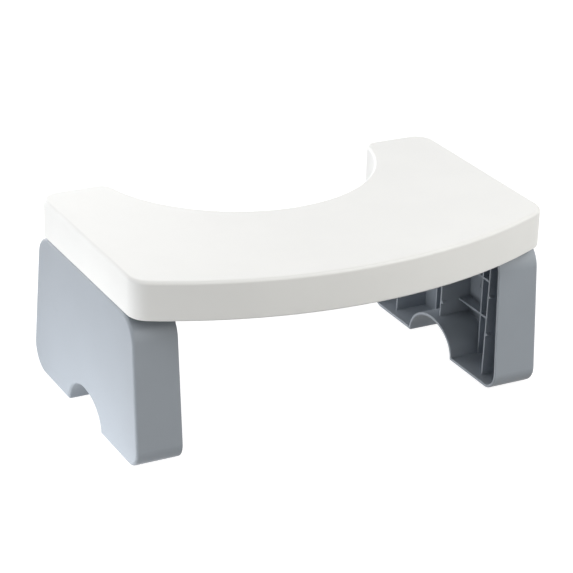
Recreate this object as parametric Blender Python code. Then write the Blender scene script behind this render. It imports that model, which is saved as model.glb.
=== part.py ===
"""Toilet footstool: a white crescent deck on two folding, ribbed legs.

Metres, +Z up, +X to the right of someone who faces the toilet's cut-out, which opens at the back (+Y).
The origin is on the floor, in the middle of the stool's overall length and depth.
"""

import math

import bmesh
import bpy
from mathutils import Matrix, Vector

# Shared fits
TOUCH_GAP = 0.0003           # between two pieces that touch
CUT_OVERRUN = 0.004          # how far a cutter runs past the face it opens
WELD_DISTANCE = 0.00001

# Deck, the part that is stood on
DECK_LENGTH = 0.450
DECK_DEPTH = 0.2912          # from the front of the bow to the straight back edge
DECK_TOP_Z = 0.1962
DECK_PLATE = 0.0035
SKIRT_DEPTH = 0.040
SKIRT_WALL = 0.003
DECK_EDGE_RADIUS = 0.0035
RIM_EDGE_RADIUS = 0.0008
BOW_RADIUS = 0.4807          # front edge, seen from above
CUTOUT_RADIUS = 0.1515       # round cut-out for the foot of the toilet
CUTOUT_DEPTH = 0.1312        # how far it reaches in from the back edge
FRONT_CORNER_RADIUS = 0.024
BACK_CORNER_RADIUS = 0.020
LOBE_CORNER_RADIUS = 0.014
DECK_RIB = 0.0022
DECK_RIB_HEIGHT = 0.025
DECK_RIB_ROWS = 7
DECK_FIRST_ROW = 0.028       # from the front of the bow
DECK_ROW_PITCH = 0.041
DECK_RIBS_TO_HINGE = 4       # lengthwise ribs from the middle to the hinge line
SEAT_LENGTH = 0.026          # deeper rib ends that the legs' tops bear on, inwards from the skirt

# Legs
LEG_INSET = 0.0006           # from the deck's side to the leg's outer face
LEG_SETBACK = 0.04785        # from the front of the bow to the foot's front
LEG_FRONT_LEAN = 0.0119      # how far the front edge leans out on its way down
LEG_BACK_LEAN = 0.0211
LEG_OVERHANG = 0.0175        # how far the leg's hindmost point stands behind the deck
LEG_DEPTH_TOP = 0.0461       # from the outer face to the open rim
LEG_DEPTH_SOLE = 0.0488
LEG_WALL = 0.003
LEG_EDGE_RADIUS = 0.0024
LEG_FRONT_TOP_RADIUS = 0.019
LEG_BACK_TOP_RADIUS = 0.016
LEG_FRONT_SOLE_RADIUS = 0.019
LEG_BACK_SOLE_RADIUS = 0.027
ARCH_HALF_LENGTH = 0.041
ARCH_HEIGHT = 0.030
ARCH_FORWARD = 0.0029        # from the middle of the foot to the arch's middle
LEG_RIB = 0.0022
LEG_RIB_END_BAY = 0.0278     # from the front face, at the top, to the first rib
LEG_RIB_BAYS = 4
DEEP_RIB_RECESS = 0.009      # from the open rim down to a deep rib's edge
SHALLOW_RIB_DEPTH = 0.0135
SHELF_FIRST = 0.050          # height of the lowest shelf between the ribs
SHELF_PITCH = 0.042
NIB_HEIGHT = 0.004           # small nibs on the deep ribs, level with the shelves
NIB_REACH = 0.004

# Hinges, two for each leg
PIN_RADIUS = 0.0025
PIN_HEAD_RADIUS = 0.004
PIN_HEAD = 0.0012
EYE_RADIUS = 0.006
EAR_THICKNESS = 0.006
LUG_THICKNESS = 0.004
HINGE_SIDE_GAP = 0.0004
HINGE_DROP = 0.0095          # from the leg's top face down to the hinge's axis
FOLD_GAP = 0.0004            # between the folded leg's rim and the deck's skirt
NOTCH_CLEARANCE = 0.0010

# Rubber pads in the soles
PAD_END_MARGIN = 0.0077      # from the pad to the ends of the sole's shorter flat stretch
PAD_WIDTH = 0.030
PAD_THICKNESS = 0.002
PAD_PROUD = 0.0008
PAD_CORNER_RADIUS = 0.006

# Facets
CORNER_STEPS = 6
BOW_STEPS = 30
CUTOUT_STEPS = 36
ARCH_STEPS = 20
EDGE_STEPS = 3
ROUND_SIDES = 24
FULL_TURN = 2 * math.pi
QUARTER_TURN = math.pi / 2
SHARP_ANGLE = math.radians(30)

# Places that follow from the sizes
DECK_HALF = DECK_LENGTH / 2
RIM_Z = DECK_TOP_Z - SKIRT_DEPTH
DECK_CEILING_Z = DECK_TOP_Z - DECK_PLATE
SOLE_Z = PAD_PROUD
LEG_TOP_Z = RIM_Z - TOUCH_GAP
LEG_BACK_TILT = math.atan2(LEG_BACK_LEAN, LEG_TOP_Z - SOLE_Z)
BACK_ROUNDING = LEG_BACK_SOLE_RADIUS * (math.tan((QUARTER_TURN + LEG_BACK_TILT) / 2) - 1)
OVERALL_DEPTH = DECK_DEPTH + LEG_OVERHANG
DECK_BACK_Y = OVERALL_DEPTH / 2 - LEG_OVERHANG
DECK_FRONT_Y = DECK_BACK_Y - DECK_DEPTH
FOOT_BACK_Y = OVERALL_DEPTH / 2 + BACK_ROUNDING
FOOT_FRONT_Y = DECK_FRONT_Y + LEG_SETBACK
LEG_OUTER_X = DECK_HALF - LEG_INSET
LEG_INNER_TOP_X = LEG_OUTER_X - LEG_DEPTH_TOP
LEG_INNER_SOLE_X = LEG_OUTER_X - LEG_DEPTH_SOLE
LEG_INNERMOST_X = min(LEG_INNER_TOP_X, LEG_INNER_SOLE_X)
LEG_FRONT_TOP_Y = FOOT_FRONT_Y + LEG_FRONT_LEAN
LEG_BACK_TOP_Y = FOOT_BACK_Y - LEG_BACK_LEAN
SEAT_FRONT_Y = LEG_FRONT_TOP_Y + LEG_FRONT_TOP_RADIUS
SEAT_BACK_Y = LEG_BACK_TOP_Y - LEG_BACK_TOP_RADIUS
ARCH_Y = (FOOT_FRONT_Y + FOOT_BACK_Y) / 2 - ARCH_FORWARD
WALL_INNER_X = LEG_OUTER_X - LEG_WALL
LEG_TOP_LENGTH = LEG_BACK_TOP_Y - LEG_FRONT_TOP_Y
LEG_RIB_PITCH = (LEG_TOP_LENGTH - 2 * LEG_RIB_END_BAY) / LEG_RIB_BAYS
LEG_RIB_YS = [LEG_FRONT_TOP_Y + LEG_RIB_END_BAY + i * LEG_RIB_PITCH for i in range(LEG_RIB_BAYS + 1)]
DEEP_RIB_YS = LEG_RIB_YS[0::2]
SHALLOW_RIB_YS = LEG_RIB_YS[1::2]
SHELF_COUNT = int((LEG_TOP_Z - LEG_WALL - NIB_HEIGHT - SHELF_FIRST) / SHELF_PITCH) + 1
SHELF_HEIGHTS = [SHELF_FIRST + i * SHELF_PITCH for i in range(SHELF_COUNT)]
HINGE_YS = (DEEP_RIB_YS[0], DEEP_RIB_YS[-1])
PIVOT_Z = LEG_TOP_Z - HINGE_DROP
PIVOT_X = RIM_Z - FOLD_GAP - PIVOT_Z + LEG_INNERMOST_X
BORE_RADIUS = PIN_RADIUS + TOUCH_GAP
LUG_OFFSET = EAR_THICKNESS / 2 + HINGE_SIDE_GAP + LUG_THICKNESS / 2
HINGE_HALF_WIDTH = LUG_OFFSET + LUG_THICKNESS / 2
NOTCH_HALF_WIDTH = HINGE_HALF_WIDTH + NOTCH_CLEARANCE
NOTCH_END_X = PIVOT_X + EYE_RADIUS + NOTCH_CLEARANCE
PAD_X = (LEG_OUTER_X + LEG_INNER_SOLE_X) / 2
FRONT_FLAT = (FOOT_FRONT_Y + LEG_FRONT_SOLE_RADIUS, ARCH_Y - ARCH_HALF_LENGTH)
BACK_FLAT = (ARCH_Y + ARCH_HALF_LENGTH, FOOT_BACK_Y - LEG_BACK_SOLE_RADIUS)
PAD_FRONT_Y, PAD_BACK_Y = sum(FRONT_FLAT) / 2, sum(BACK_FLAT) / 2
PAD_LENGTH = min(FRONT_FLAT[1] - FRONT_FLAT[0], BACK_FLAT[1] - BACK_FLAT[0]) - 2 * PAD_END_MARGIN


def remove_old_objects():
    for old in list(bpy.data.objects):
        bpy.data.objects.remove(old, do_unlink=True)


def new_collection(name):
    collection = bpy.data.collections.new(name)
    bpy.context.scene.collection.children.link(collection)
    return collection


def plastic(name, colour, roughness, metallic=0.0):
    """One Principled material."""
    material = bpy.data.materials.new(name)
    material.use_nodes = True
    shader = material.node_tree.nodes["Principled BSDF"]
    shader.inputs["Base Color"].default_value = (*colour, 1.0)
    shader.inputs["Roughness"].default_value = roughness
    shader.inputs["Metallic"].default_value = metallic
    return material


# Outlines

def arc(centre, radius, start, end, steps):
    """Points on an arc, both ends included. A pair of radii makes it an ellipse."""
    rx, ry = radius if isinstance(radius, tuple) else (radius, radius)
    angles = [start + (end - start) * i / steps for i in range(steps + 1)]
    return [(centre[0] + rx * math.cos(a), centre[1] + ry * math.sin(a)) for a in angles]


def deck_outline(inset):
    """The crescent seen from above, drawn inwards by inset on every side."""
    bow_y = DECK_FRONT_Y + BOW_RADIUS
    cut_y = DECK_BACK_Y - CUTOUT_DEPTH + CUTOUT_RADIUS
    corner_x = DECK_HALF - FRONT_CORNER_RADIUS
    corner_y = bow_y - math.sqrt((BOW_RADIUS - FRONT_CORNER_RADIUS) ** 2 - corner_x ** 2)
    bow_end = math.atan2(corner_y - bow_y, corner_x)
    lobe_y = DECK_BACK_Y - LOBE_CORNER_RADIUS
    lobe_x = math.sqrt((CUTOUT_RADIUS + LOBE_CORNER_RADIUS) ** 2 - (lobe_y - cut_y) ** 2)
    cut_end = math.atan2(lobe_y - cut_y, lobe_x)
    back_x, back_y = DECK_HALF - BACK_CORNER_RADIUS, DECK_BACK_Y - BACK_CORNER_RADIUS
    half = arc((0, bow_y), BOW_RADIUS - inset, -QUARTER_TURN, bow_end, BOW_STEPS // 2)
    half += arc((corner_x, corner_y), FRONT_CORNER_RADIUS - inset, bow_end, 0, CORNER_STEPS)[1:]
    half += arc((back_x, back_y), BACK_CORNER_RADIUS - inset, 0, QUARTER_TURN, CORNER_STEPS)
    half += arc((lobe_x, lobe_y), LOBE_CORNER_RADIUS - inset, QUARTER_TURN, math.pi + cut_end, CORNER_STEPS)
    half += arc((0, cut_y), CUTOUT_RADIUS + inset, cut_end, -QUARTER_TURN, CUTOUT_STEPS // 2)[1:]
    other_half = [(-x, y) for x, y in half[1:-1]]
    return half + other_half[::-1]


def inset_corners(corners, inset):
    """Corners of a convex outline, anticlockwise, with every side drawn inwards."""
    moved = []
    for i, corner in enumerate(corners):
        before, here, after = (Vector(corners[j % len(corners)]) for j in (i - 1, i, i + 1))
        first, second = (here - before).normalized(), (after - here).normalized()
        inward = Vector((-first.y, first.x))
        slide = (first.dot(second) - 1) / first.cross(second)
        moved.append(here + (inward + first * slide) * inset)
    return moved


def rounded_corner(before, here, after, radius):
    """The arc that replaces one convex corner, in the outline's own direction."""
    first, second = (here - before).normalized(), (after - here).normalized()
    outward = Vector((first.y, -first.x))
    turn = first.angle(second)
    centre = here - first * radius * math.tan(turn / 2) - outward * radius
    start = math.atan2(outward.y, outward.x)
    return arc(centre, radius, start, start + turn, CORNER_STEPS)


def leg_outline(inset):
    """The leg seen from its side, as (y, z) points, with its floor arch."""
    corners = inset_corners([(FOOT_FRONT_Y, SOLE_Z), (FOOT_BACK_Y, SOLE_Z),
                             (LEG_BACK_TOP_Y, LEG_TOP_Z), (LEG_FRONT_TOP_Y, LEG_TOP_Z)], inset)
    radii = (LEG_FRONT_SOLE_RADIUS, LEG_BACK_SOLE_RADIUS, LEG_BACK_TOP_RADIUS, LEG_FRONT_TOP_RADIUS)
    points = []
    for i, radius in enumerate(radii):
        before, here, after = (Vector(corners[j % len(corners)]) for j in (i - 1, i, i + 1))
        points += rounded_corner(before, here, after, radius - inset)
        if i == 0:
            rise = math.asin(inset / (ARCH_HEIGHT + inset))
            radius = (ARCH_HALF_LENGTH + inset, ARCH_HEIGHT + inset)
            points += arc((ARCH_Y, SOLE_Z), radius, math.pi - rise, rise, ARCH_STEPS)
    return points


# Solids

def mesh_object(name, bm, collection):
    bmesh.ops.recalc_face_normals(bm, faces=bm.faces)
    mesh = bpy.data.meshes.new(name)
    bm.to_mesh(mesh)
    bm.free()
    obj = bpy.data.objects.new(name, mesh)
    collection.objects.link(obj)
    return obj


def plate(points, low, high, axis):
    """A flat outline between two planes. Its points are the other two axes' values, in X, Y, Z order."""
    curve = bpy.data.curves.new("outline", "CURVE")
    curve.dimensions = "2D"
    curve.fill_mode = "BOTH"
    curve.extrude = (high - low) / 2
    spline = curve.splines.new("POLY")
    spline.points.add(len(points) - 1)
    for point, (u, v) in zip(spline.points, points):
        point.co = (u, v, 0, 1)
    spline.use_cyclic_u = True
    obj = bpy.data.objects.new("outline", curve)
    bpy.context.scene.collection.objects.link(obj)
    mesh = bpy.data.meshes.new_from_object(obj.evaluated_get(bpy.context.evaluated_depsgraph_get()))
    bm = bmesh.new()
    bm.from_mesh(mesh)
    bpy.data.objects.remove(obj, do_unlink=True)
    bpy.data.meshes.remove(mesh)
    bmesh.ops.remove_doubles(bm, verts=bm.verts, dist=WELD_DISTANCE)
    for side in (-1, 1):
        cap = [f for f in bm.faces if all(v.co.z * side > 0 for v in f.verts)]
        bmesh.ops.dissolve_faces(bm, faces=cap)
    turn = {"X": Matrix(((0, 0, 1), (1, 0, 0), (0, 1, 0))),
            "Y": Matrix(((1, 0, 0), (0, 0, 1), (0, 1, 0))),
            "Z": Matrix.Identity(3)}[axis]
    shift = Matrix.Translation(turn @ Vector((0, 0, (low + high) / 2)))
    bmesh.ops.transform(bm, matrix=shift @ turn.to_4x4(), verts=bm.verts)
    bmesh.ops.recalc_face_normals(bm, faces=bm.faces)
    return bm


def box(low, high):
    bm = bmesh.new()
    bmesh.ops.create_cube(bm, size=1)
    size = Vector(high) - Vector(low)
    middle = (Vector(high) + Vector(low)) / 2
    bmesh.ops.transform(bm, matrix=Matrix.LocRotScale(middle, None, size), verts=bm.verts)
    return bm


def rod_along_y(x, z, radius, low, high):
    bm = bmesh.new()
    bmesh.ops.create_cone(bm, cap_ends=True, segments=ROUND_SIDES, radius1=radius, radius2=radius,
                          depth=high - low)
    place = Matrix.Translation((x, (low + high) / 2, z)) @ Matrix.Rotation(QUARTER_TURN, 4, "X")
    bmesh.ops.transform(bm, matrix=place, verts=bm.verts)
    return bm


def merged(pieces):
    """Several closed shapes as one mesh."""
    whole = bmesh.new()
    for bm in pieces:
        mesh = bpy.data.meshes.new("piece")
        bm.to_mesh(mesh)
        bm.free()
        whole.from_mesh(mesh)
        bpy.data.meshes.remove(mesh)
    return whole


def round_edges(bm, radius, on_edge):
    """Round the edges that the test on_edge picks."""
    edges = [e for e in bm.edges if on_edge(e)]
    bmesh.ops.bevel(bm, geom=edges, offset=radius, offset_type="OFFSET", segments=EDGE_STEPS,
                    profile=0.5, affect="EDGES", clamp_overlap=False, material=-1)


def level_edge(edge, axis, value):
    """True for an edge that lies in the plane axis = value, between a flat cap and a side."""
    return all(abs(v.co[axis] - value) < WELD_DISTANCE for v in edge.verts)


def cut(obj, cutter, operation="DIFFERENCE"):
    modifier = obj.modifiers.new(cutter.name, "BOOLEAN")
    modifier.operation = operation
    modifier.solver = "EXACT"
    modifier.object = cutter


def as_cutter(name, bm, cutters):
    obj = mesh_object(name, bm, cutters)
    obj.hide_render = True
    obj.display_type = "WIRE"
    return obj


def set_origin(obj, origin):
    obj.data.transform(Matrix.Translation(-Vector(origin)))
    obj.location = origin


# Deck

def deck_rib_cutters(cutters):
    """Stiffening ribs and the legs' seats, as sets of blocks that are kept out of the deck's hollow."""
    low_z, high_z = DECK_CEILING_Z - DECK_RIB_HEIGHT, DECK_TOP_Z
    reach = DECK_HALF + CUT_OVERRUN
    seat_x = DECK_HALF - SKIRT_WALL - SEAT_LENGTH
    rows, seats, columns = [], [], []
    for i in range(DECK_RIB_ROWS):
        y = DECK_FRONT_Y + DECK_FIRST_ROW + i * DECK_ROW_PITCH
        front, back = y - DECK_RIB / 2, y + DECK_RIB / 2
        rows.append(box((-reach, front, low_z), (reach, back, high_z)))
        if SEAT_FRONT_Y < front and back < SEAT_BACK_Y:
            seats.append(box((seat_x, front, RIM_Z), (reach, back, high_z)))
            seats.append(box((-reach, front, RIM_Z), (-seat_x, back, high_z)))
    for i in range(-DECK_RIBS_TO_HINGE, DECK_RIBS_TO_HINGE + 1):
        x = i * PIVOT_X / DECK_RIBS_TO_HINGE
        columns.append(box((x - DECK_RIB / 2, DECK_FRONT_Y - CUT_OVERRUN, low_z),
                           (x + DECK_RIB / 2, DECK_BACK_Y + CUT_OVERRUN, high_z)))
    blocks = {"deck_rib_rows": rows, "leg_seats": seats, "deck_rib_columns": columns}
    return [as_cutter(name, merged(boxes), cutters) for name, boxes in blocks.items()]


def hinge_lugs(side):
    """The four lugs of one side, from the deck's ceiling down around the pins."""
    top = (DECK_CEILING_Z + DECK_TOP_Z) / 2
    eye = arc((side * PIVOT_X, PIVOT_Z), EYE_RADIUS, -math.pi, 0, 2 * CORNER_STEPS)
    outline = eye + [(eye[-1][0], top), (eye[0][0], top)]
    lugs = []
    for hinge_y in HINGE_YS:
        for y in (hinge_y - LUG_OFFSET, hinge_y + LUG_OFFSET):
            lugs.append(plate(outline, y - LUG_THICKNESS / 2, y + LUG_THICKNESS / 2, "Y"))
    return merged(lugs)


def hinge_bores():
    rods = []
    for side in (-1, 1):
        for y in HINGE_YS:
            reach = HINGE_HALF_WIDTH + CUT_OVERRUN
            rods.append(rod_along_y(side * PIVOT_X, PIVOT_Z, BORE_RADIUS, y - reach, y + reach))
    return merged(rods)


def make_deck(parts, cutters):
    body = plate(deck_outline(0), RIM_Z, DECK_TOP_Z, "Z")
    round_edges(body, DECK_EDGE_RADIUS, lambda e: level_edge(e, 2, DECK_TOP_Z))
    round_edges(body, RIM_EDGE_RADIUS, lambda e: level_edge(e, 2, RIM_Z))
    deck = mesh_object("deck", body, parts)
    hollow = plate(deck_outline(SKIRT_WALL), RIM_Z - CUT_OVERRUN, DECK_CEILING_Z, "Z")
    hollow = as_cutter("deck_hollow", hollow, cutters)
    for ribs in deck_rib_cutters(cutters):
        cut(hollow, ribs)
    cut(deck, hollow)
    for side, name in ((-1, "left"), (1, "right")):
        cut(deck, as_cutter(f"{name}_hinge_lugs", hinge_lugs(side), cutters), "UNION")
    cut(deck, as_cutter("hinge_bores", hinge_bores(), cutters))
    deck.data.materials.append(plastic("white_plastic", (0.86, 0.87, 0.86), 0.42))
    deck.data.shade_smooth()
    deck.data.set_sharp_from_angle(angle=SHARP_ANGLE)
    return deck


# Legs, made for the right side and mirrored for the left

def trim_to_rim(bm, recess):
    """Cut a solid off along the leaning plane of the open rim, recess deeper than the rim."""
    slope = (LEG_INNER_TOP_X - LEG_INNER_SOLE_X) / (LEG_TOP_Z - SOLE_Z)
    result = bmesh.ops.bisect_plane(bm, geom=bm.verts[:] + bm.edges[:] + bm.faces[:],
                                    plane_co=(LEG_INNER_SOLE_X + recess, 0, SOLE_Z),
                                    plane_no=(-1, 0, slope), clear_outer=True)
    loose = [g for g in result["geom_cut"] if isinstance(g, bmesh.types.BMEdge)]
    bmesh.ops.holes_fill(bm, edges=loose)
    bmesh.ops.recalc_face_normals(bm, faces=bm.faces)
    return bm


def deep_rib_outline(y):
    """A deep rib seen along X, with its nibs on the front side, anticlockwise as (y, z)."""
    front, back = y - LEG_RIB / 2, y + LEG_RIB / 2
    points = [(front, SOLE_Z), (back, SOLE_Z), (back, LEG_TOP_Z), (front, LEG_TOP_Z)]
    for z in reversed(SHELF_HEIGHTS):
        points += [(front, z + NIB_HEIGHT / 2), (front - NIB_REACH, z), (front, z - NIB_HEIGHT / 2)]
    return points


def rib_blocks():
    """Deep ribs, shallow ribs, shelves and ears, each a set of blocks that don't meet."""
    low_x, high_x = LEG_INNERMOST_X, LEG_OUTER_X
    shallow_x = WALL_INNER_X - SHALLOW_RIB_DEPTH
    half = LEG_RIB / 2
    deep = [trim_to_rim(plate(deep_rib_outline(y), low_x, high_x, "X"), DEEP_RIB_RECESS) for y in DEEP_RIB_YS]
    shallow = [box((shallow_x, y - half, SOLE_Z), (high_x, y + half, LEG_TOP_Z)) for y in SHALLOW_RIB_YS]
    shelves = [box((shallow_x, FOOT_FRONT_Y, z - half), (high_x, FOOT_BACK_Y, z + half))
               for z in SHELF_HEIGHTS]
    eye = arc((PIVOT_X, PIVOT_Z), EYE_RADIUS, QUARTER_TURN, 3 * QUARTER_TURN, 2 * CORNER_STEPS)
    outline = eye + [(high_x, eye[-1][1]), (high_x, LEG_TOP_Z), (PIVOT_X, LEG_TOP_Z)]
    ears = [plate(outline, y - EAR_THICKNESS / 2, y + EAR_THICKNESS / 2, "Y") for y in HINGE_YS]
    return {"deep_ribs": deep, "shallow_ribs": shallow, "shelves": shelves, "ears": ears}


def hinge_notches():
    """Openings in the leg's top wall for the deck's lugs."""
    low_x, low_z = LEG_INNERMOST_X - CUT_OVERRUN, LEG_TOP_Z - LEG_WALL - TOUCH_GAP
    return merged([box((low_x, y - NOTCH_HALF_WIDTH, low_z),
                       (NOTCH_END_X, y + NOTCH_HALF_WIDTH, LEG_TOP_Z + CUT_OVERRUN)) for y in HINGE_YS])


def pad_outline(y, grow):
    half_x, half_y, radius = PAD_WIDTH / 2 + grow, PAD_LENGTH / 2 + grow, PAD_CORNER_RADIUS + grow
    points = []
    for i, (sx, sy) in enumerate(((1, 1), (-1, 1), (-1, -1), (1, -1))):
        centre = (PAD_X + sx * (half_x - radius), y + sy * (half_y - radius))
        points += arc(centre, radius, i * QUARTER_TURN, (i + 1) * QUARTER_TURN, CORNER_STEPS)
    return points


def mirrored(bm, side):
    if side < 0:
        bmesh.ops.scale(bm, vec=(-1, 1, 1), verts=bm.verts)
        bmesh.ops.reverse_faces(bm, faces=bm.faces)
    return bm


def make_leg(side, name, parts, cutters):
    body = plate(leg_outline(0), LEG_INNERMOST_X - CUT_OVERRUN, LEG_OUTER_X, "X")
    round_edges(body, LEG_EDGE_RADIUS, lambda e: level_edge(e, 0, LEG_OUTER_X))
    trim_to_rim(body, 0)
    leg = mesh_object(f"{name}_leg", mirrored(body, side), parts)
    hollow = plate(leg_outline(LEG_WALL), LEG_INNERMOST_X - CUT_OVERRUN, WALL_INNER_X, "X")
    hollow = as_cutter(f"{name}_leg_hollow", mirrored(hollow, side), cutters)
    for kind, blocks in rib_blocks().items():
        cut(hollow, as_cutter(f"{name}_{kind}", mirrored(merged(blocks), side), cutters))
    cut(leg, hollow)
    cut(leg, as_cutter(f"{name}_hinge_notches", mirrored(hinge_notches(), side), cutters))
    recess = merged([plate(pad_outline(y, TOUCH_GAP), SOLE_Z - CUT_OVERRUN, PAD_THICKNESS + TOUCH_GAP, "Z")
                     for y in (PAD_FRONT_Y, PAD_BACK_Y)])
    cut(leg, as_cutter(f"{name}_pad_recesses", mirrored(recess, side), cutters))
    cut(leg, bpy.data.objects["hinge_bores"])
    leg.data.materials.append(plastic(f"{name}_grey_plastic", (0.42, 0.47, 0.53), 0.45))
    leg.data.shade_smooth()
    leg.data.set_sharp_from_angle(angle=SHARP_ANGLE)
    return leg


def make_pin(side, name, y, parts):
    """A pin with two flat heads outside the lugs."""
    shank_end = HINGE_HALF_WIDTH + TOUCH_GAP
    pin_end = shank_end + PIN_HEAD
    head, shank = PIN_HEAD_RADIUS, PIN_RADIUS
    corners = ((0, pin_end), (head, pin_end), (head, shank_end), (shank, shank_end))
    profile = [(r, -h) for r, h in corners] + [(r, h) for r, h in reversed(corners)]
    bm = bmesh.new()
    verts = [bm.verts.new((r, 0, h)) for r, h in profile]
    edges = [bm.edges.new(pair) for pair in zip(verts, verts[1:])]
    bmesh.ops.spin(bm, geom=verts + edges, cent=(0, 0, 0), axis=(0, 0, 1), angle=FULL_TURN, steps=ROUND_SIDES,
                   use_merge=True)
    bmesh.ops.remove_doubles(bm, verts=bm.verts, dist=WELD_DISTANCE)
    bmesh.ops.rotate(bm, cent=(0, 0, 0), matrix=Matrix.Rotation(QUARTER_TURN, 3, "X"), verts=bm.verts)
    pin = mesh_object(name, bm, parts)
    pin.location = (side * PIVOT_X, y, PIVOT_Z)
    pin.data.materials.append(plastic(f"{name}_steel", (0.60, 0.60, 0.61), 0.30, 1.0))
    return pin


def make_pad(side, name, y, parent, parts):
    pad = mesh_object(name, mirrored(plate(pad_outline(y, 0), 0, PAD_THICKNESS, "Z"), side), parts)
    pad.data.materials.append(plastic(f"{name}_rubber", (0.10, 0.10, 0.11), 0.80))
    pad.parent = parent
    pad.matrix_parent_inverse = Matrix.Translation(-parent.location)
    return pad


def main():
    remove_old_objects()
    parts = new_collection("toilet_footstool")
    cutters = new_collection("cutters")
    make_deck(parts, cutters)
    for side, name in ((-1, "left"), (1, "right")):
        leg = make_leg(side, name, parts, cutters)
        set_origin(leg, (side * PIVOT_X, 0, PIVOT_Z))
        for end, hinge_y, pad_y in (("front", HINGE_YS[0], PAD_FRONT_Y), ("rear", HINGE_YS[1], PAD_BACK_Y)):
            make_pin(side, f"{name}_{end}_hinge_pin", hinge_y, parts)
            make_pad(side, f"{name}_{end}_foot_pad", pad_y, leg, parts)


main()
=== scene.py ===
"""Toilet footstool: a white crescent deck on two blue-grey folding legs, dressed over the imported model.

Metres, +Z up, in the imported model's own frame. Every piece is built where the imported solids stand.
"""

import logging
import math
from collections.abc import Iterable
from dataclasses import dataclass, field
from enum import Enum

import bmesh
import bpy
from mathutils import Matrix, Vector


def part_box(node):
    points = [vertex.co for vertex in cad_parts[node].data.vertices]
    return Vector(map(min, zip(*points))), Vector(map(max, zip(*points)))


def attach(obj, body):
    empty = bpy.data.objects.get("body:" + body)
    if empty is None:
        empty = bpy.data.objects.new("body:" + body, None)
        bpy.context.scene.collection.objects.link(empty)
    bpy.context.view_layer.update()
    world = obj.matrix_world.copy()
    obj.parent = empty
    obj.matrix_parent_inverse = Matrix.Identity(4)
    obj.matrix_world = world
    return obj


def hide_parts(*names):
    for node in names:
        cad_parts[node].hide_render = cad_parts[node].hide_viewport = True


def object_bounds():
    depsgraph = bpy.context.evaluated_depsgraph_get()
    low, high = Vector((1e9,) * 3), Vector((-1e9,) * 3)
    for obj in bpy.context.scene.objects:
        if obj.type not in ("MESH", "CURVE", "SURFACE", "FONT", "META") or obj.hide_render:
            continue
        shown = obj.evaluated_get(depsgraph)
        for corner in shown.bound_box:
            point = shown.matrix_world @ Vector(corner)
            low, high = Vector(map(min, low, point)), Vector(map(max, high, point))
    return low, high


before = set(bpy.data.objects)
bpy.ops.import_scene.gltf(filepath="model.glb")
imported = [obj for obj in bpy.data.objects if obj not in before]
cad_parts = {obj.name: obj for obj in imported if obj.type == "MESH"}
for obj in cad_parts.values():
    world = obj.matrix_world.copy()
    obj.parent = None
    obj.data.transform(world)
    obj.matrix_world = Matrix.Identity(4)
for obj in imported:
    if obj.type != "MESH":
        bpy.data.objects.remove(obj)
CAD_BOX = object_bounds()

LOG = logging.getLogger("toilet_footstool")

FULL_TURN = 2 * math.pi
QUARTER_TURN = math.pi / 2
ON_LEVEL = 0.000002          # how near a point lies to a level that it is on
ON_BAND = 0.0005             # how far past a rib's strip a point of it may lie
WELD_DISTANCE = 0.00001
CROWDED = 0.0002             # points on a scored face that are closer than this become one
SHORTEST_EDGE = 0.0004       # shorter edges of the ribs stay sharp
SHARP_BLOCK = math.radians(40)
SHARP_RIB = math.radians(50)
OVERCUT = 0.004              # how far a cutting tool stands out of the face that it cuts
BORDER = 0.001               # width of the flat border beside a rounded edge
HINGE_EDGE = 0.0004          # rounding of the lugs' and the ears' edges
PAD_CORNER = 0.006

BLOCK_FACETS = 2
EDGE_FACETS = 8
RIM_FACETS = 3
HEAD_FACETS = 5
PAD_FACETS = 12
CORNER_FACETS = 18
EYE_FACETS = 24
DISC_FACETS = 32
ARCH_FACETS = 40
TURN_FACETS = 48
CURVE_FACETS = 56

Point = tuple[float, float]
Triple = tuple[float, float, float]
Colour = Triple


class Side(Enum):
    """The two sides of the stool, with the sign of X on each."""

    LEFT = -1
    RIGHT = 1

    @property
    def word(self) -> str:
        """The side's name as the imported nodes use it."""
        return self.name.lower()


class End(Enum):
    """The two ends of a leg."""

    FRONT = "front"
    REAR = "rear"


class Join(Enum):
    """How a tool solid meets the moulding that it is worked into."""

    ADD = "UNION"
    CUT = "DIFFERENCE"


# Outlines


def arc(centre: Point, radii: float | Point, start: float, end: float, steps: int) -> list[Point]:
    """Points along an arc, both ends included.

    Args:
        centre: Middle of the arc.
        radii: One radius, or the two radii of an ellipse.
        start: Angle of the first point, in radians.
        end: Angle of the last point, in radians.
        steps: Number of facets.

    Returns:
        The points in order.
    """
    across, along = radii if isinstance(radii, tuple) else (radii, radii)
    angles = [start + (end - start) * i / steps for i in range(steps + 1)]
    return [(centre[0] + across * math.cos(a), centre[1] + along * math.sin(a)) for a in angles]


def rounded_polygon(corners: list[Point], radii: list[float], steps: int) -> list[list[Point]]:
    """Round the corners of a convex outline that runs anticlockwise.

    Args:
        corners: The sharp corners.
        radii: The radius at each corner.
        steps: Facets in each rounded corner.

    Returns:
        The points of each corner's arc, one list for each corner.
    """
    rounded = []
    for i, radius in enumerate(radii):
        before, here, after = (Vector(corners[j % len(corners)]) for j in (i - 1, i, i + 1))
        first, second = (here - before).normalized(), (after - here).normalized()
        outward = Vector((first.y, -first.x))
        turn = first.angle(second)
        centre = here - first * radius * math.tan(turn / 2) - outward * radius
        start = math.atan2(outward.y, outward.x)
        rounded.append(arc((centre.x, centre.y), radius, start, start + turn, steps))
    return rounded


# Solids


def round_edges(bm: bmesh.types.BMesh, edges: list[bmesh.types.BMEdge], radius: float,
                segments: int) -> None:
    """Round some edges.

    Args:
        bm: The mesh.
        edges: The edges to round.
        radius: The rounding's width on each side.
        segments: Facets across the rounding.
    """
    bmesh.ops.bevel(bm, geom=edges, offset=radius, offset_type="OFFSET", segments=segments, profile=0.5,
                    affect="EDGES", clamp_overlap=False, material=-1)


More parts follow.
